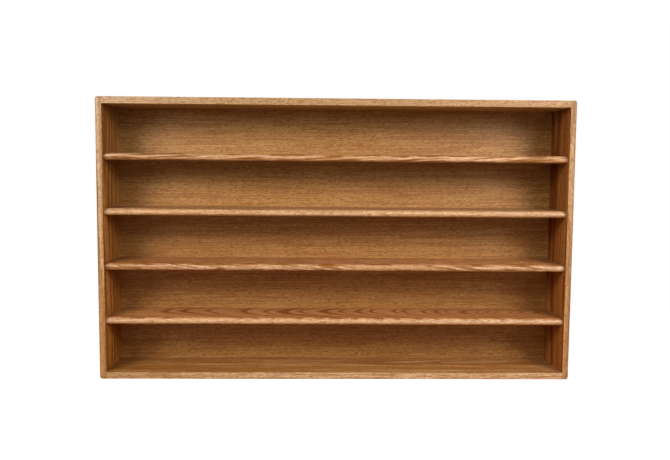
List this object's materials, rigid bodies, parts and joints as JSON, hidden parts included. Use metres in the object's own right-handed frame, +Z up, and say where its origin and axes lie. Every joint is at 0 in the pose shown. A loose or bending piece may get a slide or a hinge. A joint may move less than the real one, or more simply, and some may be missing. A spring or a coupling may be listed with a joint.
{
  "type": "disc storage cabinet",
  "caption": "Wide, shallow oak cabinet, open at the front, with fixed bullnosed shelves for disc cases between full-height sides and a plywood back.",
  "frame": {"origin": "middle of the footprint, in the plane that the cabinet stands on", "axes": "+X along the shelves to the right seen from the front, +Y to the rear (the open front faces -Y), +Z up"},
  "size_m": [1.3208, 0.1714, 0.7811],
  "materials": {
    "oak_board": "satin lacquer on solid oak",
    "oak_plywood": "satin lacquer on oak-faced plywood",
    "hardwood_dowel": "bare hardwood",
    "staple_steel": "galvanised wire"
  },
  "bodies": {
    "root": {"side_left": "oak_board", "side_right": "oak_board", "top_panel": "oak_board", "bottom_panel": "oak_board", "shelf_1": "oak_board", "shelf_2": "oak_board", "shelf_3": "oak_board", "shelf_4": "oak_board", "back_panel": "oak_plywood", "dowels_top_left": "hardwood_dowel", "dowels_top_right": "hardwood_dowel", "dowels_bottom_left": "hardwood_dowel", "dowels_bottom_right": "hardwood_dowel", "staples_top": "staple_steel", "staples_bottom": "staple_steel", "staples_left": "staple_steel", "staples_right": "staple_steel", "staples_shelf_1": "staple_steel", "staples_shelf_2": "staple_steel", "staples_shelf_3": "staple_steel", "staples_shelf_4": "staple_steel"}
  },
  "joints": []
}
